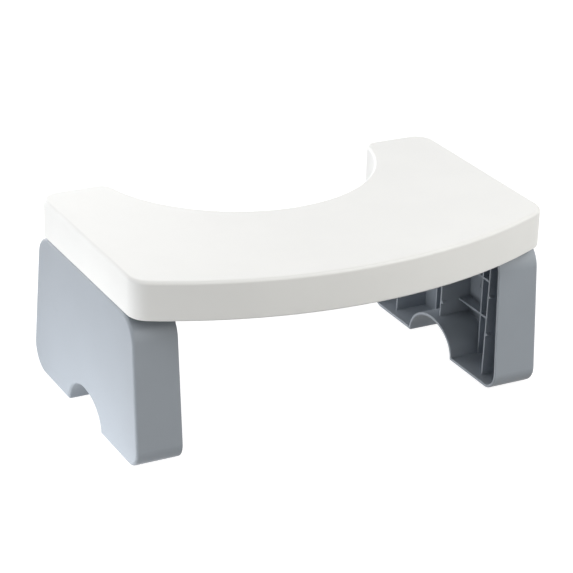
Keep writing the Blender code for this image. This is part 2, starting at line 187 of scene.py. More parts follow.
def prism(outline: list[Point], low: float, high: float, softness: float = 0.0) -> bmesh.types.BMesh:
    """A closed block with a flat outline in X and Y, between two heights.

    Args:
        outline: The outline's points, anticlockwise seen from above.
        low: Height of the lower face.
        high: Height of the upper face.
        softness: Width of the rounding on every sharp edge, or 0.

    Returns:
        The block's mesh.
    """
    bm = bmesh.new()
    face = bm.faces.new([bm.verts.new((u, v, low)) for u, v in outline])
    grown = bmesh.ops.extrude_face_region(bm, geom=[face])
    raised = [g for g in grown["geom"] if isinstance(g, bmesh.types.BMVert)]
    bmesh.ops.translate(bm, verts=raised, vec=(0, 0, high - low))
    bmesh.ops.recalc_face_normals(bm, faces=bm.faces)
    if softness:
        sharp = [e for e in bm.edges if e.calc_face_angle(0.0) > SHARP_BLOCK]
        round_edges(bm, sharp, softness, BLOCK_FACETS)
    return bm


def turned(bm: bmesh.types.BMesh, matrix: Matrix) -> bmesh.types.BMesh:
    """Place a mesh with a matrix, and keep its faces outwards.

    Args:
        bm: The mesh.
        matrix: Where it goes, which may mirror it.

    Returns:
        The same mesh.
    """
    bmesh.ops.transform(bm, matrix=matrix, verts=bm.verts)
    if matrix.determinant() < 0:
        bmesh.ops.recalc_face_normals(bm, faces=bm.faces)
    return bm


def along_x(bm: bmesh.types.BMesh) -> bmesh.types.BMesh:
    """Turn a mesh so that its own X, Y and Z become Y, Z and X."""
    return turned(bm, Matrix(((0, 0, 1, 0), (1, 0, 0, 0), (0, 1, 0, 0), (0, 0, 0, 1))))


def along_y(bm: bmesh.types.BMesh) -> bmesh.types.BMesh:
    """Turn a mesh so that its own X stays, its Y becomes Z and its Z becomes Y."""
    return turned(bm, Matrix(((1, 0, 0, 0), (0, 0, 1, 0), (0, 1, 0, 0), (0, 0, 0, 1))))


def merged(pieces: list[bmesh.types.BMesh]) -> bmesh.types.BMesh:
    """Put several closed meshes that don't meet into one.

    Args:
        pieces: The meshes, which are freed.

    Returns:
        The mesh that holds them all.
    """
    whole = bmesh.new()
    for bm in pieces:
        mesh = bpy.data.meshes.new("part_of_whole")
        bm.to_mesh(mesh)
        bm.free()
        whole.from_mesh(mesh)
        bpy.data.meshes.remove(mesh)
    return whole


def disc(u: float, v: float, radius: float, low: float, high: float) -> bmesh.types.BMesh:
    """A short round block."""
    return prism(arc((u, v), radius, 0, FULL_TURN, DISC_FACETS)[:-1], low, high)


def block(x0: float, y0: float, x1: float, y1: float, low: float, high: float) -> bmesh.types.BMesh:
    """A plain block between two corners and two heights."""
    return prism([(x0, y0), (x1, y0), (x1, y1), (x0, y1)], low, high)


def rods(middles: list[Vector], radius: float, half: float) -> bmesh.types.BMesh:
    """Rods along Y round some middles, which cut the bores for the pins."""
    return merged([along_y(disc(p.x, p.z, radius, p.y - half, p.y + half)) for p in middles])


def corners_of(faces: list[bmesh.types.BMFace]) -> list[bmesh.types.BMVert]:
    """The faces' points, each once, in the faces' own order."""
    return list(dict.fromkeys(v for f in faces for v in f.verts))


@dataclass(frozen=True)
class Level:
    """A level across a moulding: its w where v is 0, and how much w grows with v."""

    base: float
    lean: float = 0.0

    def at(self, place: Vector) -> float:
        """The level's w at a place."""
        return self.base + self.lean * place.y

    def deeper(self, depth: float) -> "Level":
        """The same level, further from the rim."""
        return Level(self.base + depth, self.lean)

    def holds(self, verts: Iterable[bmesh.types.BMVert]) -> bool:
        """Whether every point lies on the level."""
        return all(abs(v.co.z - self.at(v.co)) < ON_LEVEL for v in verts)


@dataclass(frozen=True)
class Band:
    """The strip of a rib on the opening: an axis, the middle of the strip and half its width."""

    axis: int
    middle: float
    half: float

    @property
    def edges(self) -> Point:
        """The two sides of the strip."""
        return self.middle - self.half, self.middle + self.half

    def holds(self, face: bmesh.types.BMFace) -> bool:
        """Whether a face lies inside the strip."""
        return all(abs(v.co[self.axis] - self.middle) < self.half + ON_BAND for v in face.verts)


class Moulding:
    """A thin-walled shell in its own axes: u and v across it, w from its open rim to its closed face."""

    def __init__(self, outline: list[Point], rim: Level, closed: float) -> None:
        """Raise the solid block that the shell is sunk into.

        Args:
            outline: The shell seen along w, anticlockwise.
            rim: Level of the open rim.
            closed: The w of the closed face.
        """
        self.bm = prism(outline, rim.base, closed)
        self.on_rim = self.bm.faces.layers.int.new("on_rim")
        self.rim = rim
        self.closed = Level(closed)
        for vert in self.bm.verts:
            if abs(vert.co.z - rim.base) < ON_LEVEL:
                vert.co.z = rim.at(vert.co)

    def on_level(self, level: Level) -> list[bmesh.types.BMFace]:
        """The faces that lie on a level."""
        return [f for f in self.bm.faces if level.holds(f.verts)]

    def soften(self, level: Level, radius: float, segments: int) -> None:
        """Round the outer edge on a level.

        Args:
            level: The level that the edge lies on.
            radius: Radius of the rounding.
            segments: Facets across it.
        """
        round_edges(self.bm, [e for e in self.bm.edges if level.holds(e.verts)], radius, segments)

    def support(self, level: Level, width: float) -> None:
        """Put a narrow border round the face on a level, which keeps its shading flat."""
        bmesh.ops.inset_region(self.bm, faces=self.on_level(level), thickness=width, use_even_offset=True,
                               use_boundary=True)

    def ring(self, level: Level) -> None:
        """Cut a loop round the outer sides where a level crosses them."""
        geometry = self.bm.verts[:] + self.bm.edges[:] + self.bm.faces[:]
        bmesh.ops.bisect_plane(self.bm, geom=geometry, dist=ON_LEVEL, plane_co=(0, 0, level.base),
                               plane_no=(0, -level.lean, 1))

    def draw_wall(self, wall: float) -> None:
        """Draw the wall's thickness on the rim.

        Args:
            wall: From the rim's rounded outer edge to the wall's inner face.
        """
        result = bmesh.ops.inset_region(self.bm, faces=self.on_level(self.rim), thickness=wall,
                                        use_even_offset=True, use_boundary=True)
        for face in result["faces"]:
            face[self.on_rim] = 1

    def form_wall(self, edge_radius: float, rim_radius: float, wall: float) -> None:
        """Round both outer edges, keep the sides flat between them, and draw the wall on the rim.

        Args:
            edge_radius: Radius of the edge round the closed face.
            rim_radius: Radius of the edge round the rim.
            wall: Thickness of the wall.
        """
        self.soften(self.closed, edge_radius, EDGE_FACETS)
        self.support(self.closed, BORDER)
        self.soften(self.rim, rim_radius, RIM_FACETS)
        self.ring(Level(self.closed.base - edge_radius - BORDER))
        self.ring(self.rim.deeper(rim_radius + BORDER))
        self.draw_wall(wall - rim_radius)

    def inside(self, level: Level) -> list[bmesh.types.BMFace]:
        """The faces on a level that lie inside the wall."""
        return [f for f in self.on_level(level) if not f[self.on_rim]]

    def score(self, faces: list[bmesh.types.BMFace], axis: int, place: float) -> None:
        """Cut flat faces along a straight line.

        Args:
            faces: The faces to cut.
            axis: 0 for a line at one u, 1 for a line at one v.
            place: That u or v.
        """
        edges = list(dict.fromkeys(e for f in faces for e in f.edges))
        normal = Vector((0, 0, 0))
        normal[axis] = 1
        bmesh.ops.bisect_plane(self.bm, geom=corners_of(faces) + edges + faces, dist=ON_LEVEL,
                               plane_co=normal * place, plane_no=normal)

    def score_bands(self, level: Level, bands: list[Band]) -> None:
        """Cut the faces on a level along both sides of each band, and merge points that come too close.

        Args:
            level: Where the faces lie.
            bands: The strips to mark.
        """
        for band in bands:
            for place in band.edges:
                self.score(self.inside(level), band.axis, place)
        bmesh.ops.remove_doubles(self.bm, verts=corners_of(self.inside(level)), dist=CROWDED)

    def sink(self, faces: list[bmesh.types.BMFace], level: Level, draft: float) -> None:
        """Sink flat faces to a deeper level.

        Args:
            faces: The faces to sink.
            level: Where they go.
            draft: How far the new walls lean in.
        """
        bmesh.ops.inset_region(self.bm, faces=faces, thickness=draft, use_even_offset=True,
                               use_boundary=True)
        for vert in corners_of(faces):
            vert.co.z = level.at(vert.co)

    def ease_ribs(self, radius: float) -> None:
        """Round the sharp outward edges that the sinking left.

        Args:
            radius: Width of the rounding.
        """
        edges = [e for e in self.bm.edges if e.is_manifold and e.is_convex
                 and e.calc_face_angle(0.0) > SHARP_RIB and e.calc_length() > SHORTEST_EDGE]
        round_edges(self.bm, edges, radius, RIM_FACETS)


@dataclass
class Shop:
    """Where meshes become pieces of the scene."""

    collection: bpy.types.Collection = field(default_factory=lambda: bpy.context.scene.collection)
    smooth_below: float = math.radians(32)

    def object_from(self, name: str, bm: bmesh.types.BMesh) -> bpy.types.Object:
        """Make an object at the origin from a mesh.

        Args:
            name: The object's name.
            bm: Its mesh, which is freed.

        Returns:
            The object, linked to the scene.
        """
        mesh = bpy.data.meshes.new(name)
        bm.to_mesh(mesh)
        bm.free()
        obj = bpy.data.objects.new(name, mesh)
        self.collection.objects.link(obj)
        return obj

    def work(self, obj: bpy.types.Object, tools: list[tuple[Join, bmesh.types.BMesh]]) -> None:
        """Add and cut tool solids, one after the other.

        Args:
            obj: The piece.
            tools: Each tool with how it meets the piece.
        """
        helpers = []
        for join, bm in tools:
            helper = self.object_from("tool", bm)
            modifier = obj.modifiers.new("tool", "BOOLEAN")
            modifier.operation = join.value
            modifier.solver = "EXACT"
            modifier.object = helper
            helpers.append(helper)
        self.settle(obj)
        for helper in helpers:
            mesh = helper.data
            bpy.data.objects.remove(helper, do_unlink=True)
            bpy.data.meshes.remove(mesh)

    def settle(self, obj: bpy.types.Object) -> None:
        """Apply a piece's modifiers to its mesh.

        Args:
            obj: The piece.
        """
        evaluated = obj.evaluated_get(bpy.context.evaluated_depsgraph_get())
        mesh = bpy.data.meshes.new_from_object(evaluated)
        old = obj.data
        name = old.name
        obj.modifiers.clear()
        obj.data = mesh
        bpy.data.meshes.remove(old)
        mesh.name = name

    def finish(self, obj: bpy.types.Object, material: bpy.types.Material, slot: str, body: str,
               nodes: list[str]) -> None:
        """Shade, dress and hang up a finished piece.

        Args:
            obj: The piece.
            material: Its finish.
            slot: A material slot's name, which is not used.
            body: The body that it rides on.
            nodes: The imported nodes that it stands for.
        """
        obj.data.shade_smooth()
        obj.data.set_sharp_from_angle(angle=self.smooth_below)
        modifier = obj.modifiers.new("flat_faces_stay_flat", "WEIGHTED_NORMAL")
        modifier.keep_sharp = True
        modifier.weight = 50
        self.settle(obj)
        obj.data.materials.clear()
        obj.data.materials.append(material)
        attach(obj, body)
        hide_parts(*nodes)
        triangles = sum(len(p.vertices) - 2 for p in obj.data.polygons)
        LOG.info("%s: %d triangles, rides on %s", obj.name, triangles, body)


# Materials


class Signal:
    """A value in a material's nodes, on which Python's operators add Math nodes."""

    def __init__(self, graph: "Graph", socket: bpy.types.NodeSocket) -> None:
        """Wrap a node's output socket."""
        self.graph = graph
        self.socket = socket

    def _with(self, operation: str, first: "Signal | float", second: "Signal | float") -> "Signal":
        """Add a Math node on two values."""
        return self.graph.node("ShaderNodeMath", {"operation": operation}, {0: first, 1: second})

    def __add__(self, other: "Signal | float") -> "Signal":
        """Sum."""
        return self._with("ADD", self, other)

    def __radd__(self, other: float) -> "Signal":
        """Sum with a number in front."""
        return self._with("ADD", other, self)

    def __sub__(self, other: "Signal | float") -> "Signal":
        """Difference."""
        return self._with("SUBTRACT", self, other)

    def __rsub__(self, other: float) -> "Signal":
        """Difference from a number."""
        return self._with("SUBTRACT", other, self)

    def __mul__(self, other: "Signal | float") -> "Signal":
        """Product."""
        return self._with("MULTIPLY", self, other)

    def __rmul__(self, other: float) -> "Signal":
        """Product with a number in front."""
        return self._with("MULTIPLY", other, self)

    def ramp(self, low: float, high: float) -> "Signal":
        """Stretch the span from low to high to 0 to 1, smoothly and clamped."""
        settings = {"interpolation_type": "SMOOTHSTEP"}
        return self.graph.node("ShaderNodeMapRange", settings, {0: self, 1: low, 2: high})


class Graph:
    """The nodes of one material."""

    def __init__(self, name: str) -> None:
        """Start a material with its Principled shader.

        Args:
            name: The material's name.
        """
        self.material = bpy.data.materials.new(name)
        self.material.use_nodes = True
        self.tree = self.material.node_tree
        self.shader = self.tree.nodes["Principled BSDF"]

    def fill(self, node: bpy.types.Node, sockets: dict[str | int, object]) -> None:
        """Set or link a node's inputs.

        Args:
            node: The node.
            sockets: Values or signals for its inputs, by name or place.
        """
        for key, value in sockets.items():
            if isinstance(value, Signal):
                self.tree.links.new(value.socket, node.inputs[key])
            else:
                node.inputs[key].default_value = value

    def node(self, kind: str, settings: dict[str, object], sockets: dict[str | int, object],
             output: str | int = 0) -> Signal:
        """Add a node.

        Args:
            kind: The node's type.
            settings: Its properties, which are set first.
            sockets: Values or signals for its inputs, by name or place.
            output: The output that is used.

        Returns:
            That output.
        """
        node = self.tree.nodes.new(kind)
        for key, value in settings.items():
            setattr(node, key, value)
        self.fill(node, sockets)
        return Signal(self, node.outputs[output])

    def place(self) -> Signal:
        """Where a point is on the piece, in metres."""
        return self.node("ShaderNodeTexCoord", {}, {}, "Object")

    def stretched(self, place: Signal, scale: Triple, turn: float = 0.0) -> Signal:
        """The place, turned about Z and scaled along each axis."""
        sockets = {"Vector": place, "Scale": scale, "Rotation": (0.0, 0.0, turn)}
        return self.node("ShaderNodeMapping", {}, sockets)

    def noise(self, place: Signal, scale: float, detail: float, roughness: float = 0.5) -> Signal:
        """Soft noise, about 0 to 1."""
        sockets = {"Vector": place, "Scale": scale, "Detail": detail, "Roughness": roughness}
        return self.node("ShaderNodeTexNoise", {}, sockets)

    def blend(self, factor: Signal, first: Colour | Signal, second: Colour | Signal) -> Signal:
        """A colour between two."""
        pair = [c if isinstance(c, Signal) else (*c, 1.0) for c in (first, second)]
        return self.node("ShaderNodeMix", {"data_type": "RGBA"}, {0: factor, 6: pair[0], 7: pair[1]}, 2)

    def bump(self, height: Signal, distance: float, normal: Signal | None = None) -> Signal:
        """Turn a height into a normal.

        Args:
            height: The height, from 0 to 1.
            distance: How deep that is, in metres.
            normal: The normal that it goes on top of, if any.

        Returns:
            The new normal.
        """
        sockets: dict[str | int, object] = {"Height": height, "Distance": distance, "Strength": 1.0}
        if normal is not None:
            sockets["Normal"] = normal
        return self.node("ShaderNodeBump", {}, sockets)

    def dress(self, **sockets: object) -> bpy.types.Material:
        """Fill the shader's inputs, named with underscores for spaces, and give the material."""
        self.fill(self.shader, {key.replace("_", " "): value for key, value in sockets.items()})
        return self.material


def scaled(colour: Colour, factor: float) -> Colour:
    """A colour made lighter or darker."""
    return tuple(min(1.0, c * factor) for c in colour)


@dataclass(frozen=True)
class MouldedPlastic:
    """Injection-moulded plastic with a fine spark-eroded grain, light handling marks, and convex edges
    painted paler, partly as wear and partly as a painted highlight.
    """

    name: str
    colour: Colour
    roughness: float
    mottle: float            # share by which the colour varies in soft patches
    grain_depth: float
    edge_wear_and_highlight: float         # how much paler the convex edges are: partly rubbing wear, partly a painted highlight
    scuffs: float            # how much rougher the rubbed streaks are
    grain_size: float = 0.0006
    patches_per_metre: float = 14.0
    flecks_per_metre: float = 420.0
    wear_per_metre: float = 55.0
    flow_per_metre: float = 38.0
    flow_depth: float = 0.00006
    streak_scale: Triple = (9.0, 160.0, 60.0)
    streak_turn: float = 0.5
    rub_scale: Triple = (210.0, 12.0, 70.0)
    rub_turn: float = -0.35
    refraction: float = 1.47

    def material(self) -> bpy.types.Material:
        """Build the finish.

        Returns:
            The material.
        """
        g = Graph(self.name)
        place = g.place()
        patches = g.noise(place, self.patches_per_metre, 3.0)
        flecks = g.noise(place, self.flecks_per_metre, 2.0)
        body = g.blend(patches.ramp(0.3, 0.7), scaled(self.colour, 1 - self.mottle), self.colour)
        body = g.blend(flecks.ramp(0.62, 0.8) * 0.35, body, scaled(self.colour, 1 - 2.5 * self.mottle))
        pointed = g.node("ShaderNodeNewGeometry", {}, {}, "Pointiness")
        # convex edges are painted paler: partly rubbing wear, partly a painted highlight that brightens the
        # rib edges
        worn_and_highlit_edges = pointed.ramp(0.52, 0.60) * g.noise(place, self.wear_per_metre, 4.0).ramp(0.35, 0.65)
        colour = g.blend(worn_and_highlit_edges * self.edge_wear_and_highlight, body, scaled(self.colour, 1.25))
        along = g.stretched(place, self.streak_scale, self.streak_turn)
        across = g.stretched(place, self.rub_scale, self.rub_turn)
        streaks = g.noise(along, 4.0, 3.0).ramp(0.60, 0.78)
        rubs = g.noise(across, 4.0, 3.0).ramp(0.62, 0.80)
        rough = self.roughness + 0.05 * (patches - 0.5) + self.scuffs * (streaks + rubs) - worn_and_highlit_edges * 0.05
        grain = g.noise(place, 1 / self.grain_size, 2.0, 0.6)
        waved = g.bump(g.noise(place, self.flow_per_metre, 1.0), self.flow_depth)
        normal = g.bump(grain, self.grain_depth, waved)
        return g.dress(Base_Color=colour, Roughness=rough, Normal=normal, IOR=self.refraction)


@dataclass(frozen=True)
class TurnedSteel:
    """Zinc-bright steel with fine rings from the lathe."""

    name: str
    colour: Colour
    roughness: float
    ring_scale: Triple = (60.0, 5200.0, 60.0)
    ring_depth: float = 0.00001
    dulling_per_metre: float = 260.0

    def material(self) -> bpy.types.Material:
        """Build the finish.

        Returns:
            The material.
        """
        g = Graph(self.name)
        place = g.place()
        rings = g.noise(g.stretched(place, self.ring_scale), 1.0, 2.0)
        dulled = g.noise(place, self.dulling_per_metre, 3.0)
        colour = g.blend(dulled.ramp(0.35, 0.7), self.colour, scaled(self.colour, 0.82))
        rough = self.roughness + 0.12 * rings.ramp(0.3, 0.7) + 0.08 * dulled
        normal = g.bump(rings, self.ring_depth)
        return g.dress(Base_Color=colour, Roughness=rough, Normal=normal, Metallic=1.0)


@dataclass(frozen=True)
class GripRubber:
    """Dark matt rubber with a little dust."""

    name: str
    colour: Colour
    dust: Colour
    roughness: float
    dust_per_metre: float = 130.0
    grain_per_metre: float = 1800.0
    grain_depth: float = 0.00008
    refraction: float = 1.5

    def material(self) -> bpy.types.Material:
        """Build the finish.

        Returns:
            The material.
        """
        g = Graph(self.name)
        place = g.place()
        dusty = g.noise(place, self.dust_per_metre, 5.0, 0.6).ramp(0.5, 0.8)
        fine = g.noise(place, self.grain_per_metre, 2.0)
        colour = g.blend(dusty * 0.5, self.colour, self.dust)
        rough = self.roughness + 0.1 * dusty
        normal = g.bump(fine, self.grain_depth)
        return g.dress(Base_Color=colour, Roughness=rough, Normal=normal, IOR=self.refraction)


@dataclass(frozen=True)
class StudioFloor:
    """A pale floor that glows as white as the surround."""

    name: str
    glow: float
    pale: float
    patches_per_metre: float = 0.8

    def material(self) -> bpy.types.Material:
        """Build the finish.

        Returns:
            The material.
        """
        g = Graph(self.name)
        soft = g.noise(g.place(), self.patches_per_metre, 1.0)
        grey = (self.pale, self.pale, self.pale)
        tone = g.blend(soft, grey, scaled(grey, 1.04))
        return g.dress(Base_Color=tone, Roughness=0.9, Emission_Color=(1.0, 1.0, 1.0, 1.0),
                       Emission_Strength=self.glow)


# Pieces


def hinge_place(side: Side, end: End) -> Vector:
    """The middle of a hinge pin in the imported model."""
    low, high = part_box(f"{side.word}_{end.value}_hinge_pin")
    return (low + high) / 2


def pad_block(side: Side, end: End, grow: float = 0.0, below: float = 0.0) -> bmesh.types.BMesh:
    """A plain block in a foot pad's place.

    Args:
        side: The leg's side.
        end: The leg's end.
        grow: How much larger than the pad it is, all round and above.
        below: How far it stands out under the pad.

    Returns:
        Its mesh.
    """
    low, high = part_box(f"{side.word}_{end.value}_foot_pad")
    corner = PAD_CORNER + grow
    x0, x1, y0, y1 = low.x - grow, high.x + grow, low.y - grow, high.y + grow
    outline: list[Point] = []
    places = ((x1 - corner, y1 - corner), (x0 + corner, y1 - corner), (x0 + corner, y0 + corner),
              (x1 - corner, y0 + corner))
    for i, place in enumerate(places):
        outline += arc(place, corner, i * QUARTER_TURN, (i + 1) * QUARTER_TURN, PAD_FACETS)
    return prism(outline, low.z - below, high.z + grow)


@dataclass
class Deck:
    """The white crescent that is stood on: one shell with a deep skirt, stiffened underneath."""

    material: bpy.types.Material
    shop: Shop
    body: str = "deck"
    plate: float = 0.0035
    skirt_depth: float = 0.040
    wall: float = 0.003
    edge_radius: float = 0.0035
    rim_radius: float = 0.0015
    bow_radius: float = 0.4807
    cutout_radius: float = 0.1515
    cutout_depth: float = 0.1312
    front_corner: float = 0.024
    back_corner: float = 0.020
    lobe_corner: float = 0.014
    rib: float = 0.0022
    rib_height: float = 0.025
    row_count: int = 7
    first_row: float = 0.028
    row_pitch: float = 0.041
    columns_each_side: int = 4
    seat_reach: float = 0.026
    first_seat: float = 0.031            # how far behind the leg's front the seats begin
    last_seat: float = 0.033             # how far before the leg's back they end
    draft: float = 0.00015
    rib_edge: float = 0.00035
    least_cell: float = 0.000008         # area under which a cell stays filled
    lug_thickness: float = 0.004
    eye_radius: float = 0.006
    lug_offset: float = 0.0054
    bore_radius: float = 0.0028
    bore_half: float = 0.012
    mark_rows: int = 3
    mark_radius: float = 0.0028
    mark_depth: float = 0.00035

    def __post_init__(self) -> None:
        """Read the deck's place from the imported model."""
        low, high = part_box("deck")
        self.half = high.x
        self.front_y, self.back_y = low.y, high.y
        self.top_z = high.z
        self.rim_z = self.top_z - self.skirt_depth
        self.ceiling_z = self.top_z - self.plate
        leg_low, leg_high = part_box("right_leg")
        self.seat_front_y, self.seat_back_y = leg_low.y + self.first_seat, leg_high.y - self.last_seat
        self.pivots = [hinge_place(side, end) for side in Side for end in End]

    def outline(self) -> list[Point]:
        """Draw the crescent as seen from above.

        Returns:
            Its points, anticlockwise.
        """
        bow_y = self.front_y + self.bow_radius
        cut_y = self.back_y - self.cutout_depth + self.cutout_radius
        corner_x = self.half - self.front_corner
        corner_y = bow_y - math.sqrt((self.bow_radius - self.front_corner) ** 2 - corner_x ** 2)
        bow_end = math.atan2(corner_y - bow_y, corner_x)
        lobe_y = self.back_y - self.lobe_corner
        lobe_x = math.sqrt((self.cutout_radius + self.lobe_corner) ** 2 - (lobe_y - cut_y) ** 2)
        cut_end = math.atan2(lobe_y - cut_y, lobe_x)
        back_x, back_y = self.half - self.back_corner, self.back_y - self.back_corner
        half = arc((0, bow_y), self.bow_radius, -QUARTER_TURN, bow_end, CURVE_FACETS)
        half += arc((corner_x, corner_y), self.front_corner, bow_end, 0, CORNER_FACETS)[1:]
        half += arc((back_x, back_y), self.back_corner, 0, QUARTER_TURN, CORNER_FACETS)
        half += arc((lobe_x, lobe_y), self.lobe_corner, QUARTER_TURN, math.pi + cut_end, CORNER_FACETS)
        half += arc((0, cut_y), self.cutout_radius, cut_end, -QUARTER_TURN, CURVE_FACETS)[1:]
        other_half = [(-x, y) for x, y in half[1:-1]]
        return half + other_half[::-1]

    def bands(self) -> tuple[list[Band], list[Band]]:
        """Place the deck's ribs.

        Returns:
            The rib rows across the deck, and the rib columns along it.
        """
        rows = [Band(1, self.front_y + self.first_row + i * self.row_pitch, self.rib / 2)
                for i in range(self.row_count)]
        step = self.pivots[-1].x / self.columns_each_side
        span = range(-self.columns_each_side, self.columns_each_side + 1)
        return rows, [Band(0, i * step, self.rib / 2) for i in span]

    def shell(self) -> bmesh.types.BMesh:
        """Shape the skirt, the ribs and the seats for the legs.

        Returns:
            The mesh of the deck without its hinges.
        """
        m = Moulding(self.outline(), Level(self.rim_z), self.top_z)
        m.form_wall(self.edge_radius, self.rim_radius, self.wall)
        rows, columns = self.bands()
        m.score_bands(m.rim, rows + columns)
        seats = self.seats(m, rows)
        ribs = Level(self.ceiling_z - self.rib_height)
        m.sink([f for f in m.inside(m.rim) if f not in seats], ribs, self.draft)
        cells = [f for f in m.inside(ribs) if not any(b.holds(f) for b in rows + columns)]
        m.sink([f for f in cells if f.calc_area() > self.least_cell], Level(self.ceiling_z), self.draft)
        m.ease_ribs(self.rib_edge)
        return m.bm

    def seats(self, m: Moulding, rows: list[Band]) -> set[bmesh.types.BMFace]:
        """Cut off the rib ends that stay level with the rim, where the legs' tops bear.

        Args:
            m: The deck's shell, with the rib bands marked on its rim's level.
            rows: The rib rows.

        Returns:
            The faces of the seats.
        """
        inner_x = self.half - self.wall - self.seat_reach
        bearing = [row for row in rows if self.seat_front_y < row.middle < self.seat_back_y]
        for place in (-inner_x, inner_x):
            for row in bearing:
                m.score([f for f in m.inside(m.rim) if row.holds(f)], 0, place)
        return {f for f in m.inside(m.rim) if any(row.holds(f) for row in bearing)
                and min(abs(v.co.x) for v in f.verts) > inner_x - ON_LEVEL}

    def lugs(self, pivot: Vector) -> bmesh.types.BMesh:
        """The two lugs that hold one pin.

        Args:
            pivot: The pin's middle.

        Returns:
            Their mesh, from inside the plate down round the pin.
        """
        top = (self.ceiling_z + self.top_z) / 2
        eye = arc((pivot.x, pivot.z), self.eye_radius, -math.pi, 0, EYE_FACETS)
        outline = eye + [(eye[-1][0], top), (eye[0][0], top)]
        half = self.lug_thickness / 2
        middles = (pivot.y - self.lug_offset, pivot.y + self.lug_offset)
        return merged([along_y(prism(outline, y - half, y + half, HINGE_EDGE)) for y in middles])

    def ejector_marks(self) -> bmesh.types.BMesh:
        """Shape the shallow round marks that the mould's ejector pins leave on the ceiling.

        Returns:
            The discs that cut them.
        """
        rows, columns = self.bands()
        step_x = columns[1].middle - columns[0].middle
        marks = []
        for row in rows[:self.mark_rows]:
            for column in columns[:-1]:
                u, v = column.middle + step_x / 2, row.middle + self.row_pitch / 2
                marks.append(disc(u, v, self.mark_radius, self.ceiling_z - OVERCUT,
                                  self.ceiling_z + self.mark_depth))
        return merged(marks)

    def build(self) -> None:
        """Make the deck and hang it up."""
        obj = self.shop.object_from("crescent_deck", self.shell())
        bores = rods(self.pivots, self.bore_radius, self.bore_half)
        self.shop.work(obj, [(Join.ADD, merged([self.lugs(p) for p in self.pivots])),
                             (Join.CUT, bores), (Join.CUT, self.ejector_marks())])
        self.shop.finish(obj, self.material, "deck_white", self.body, ["deck"])


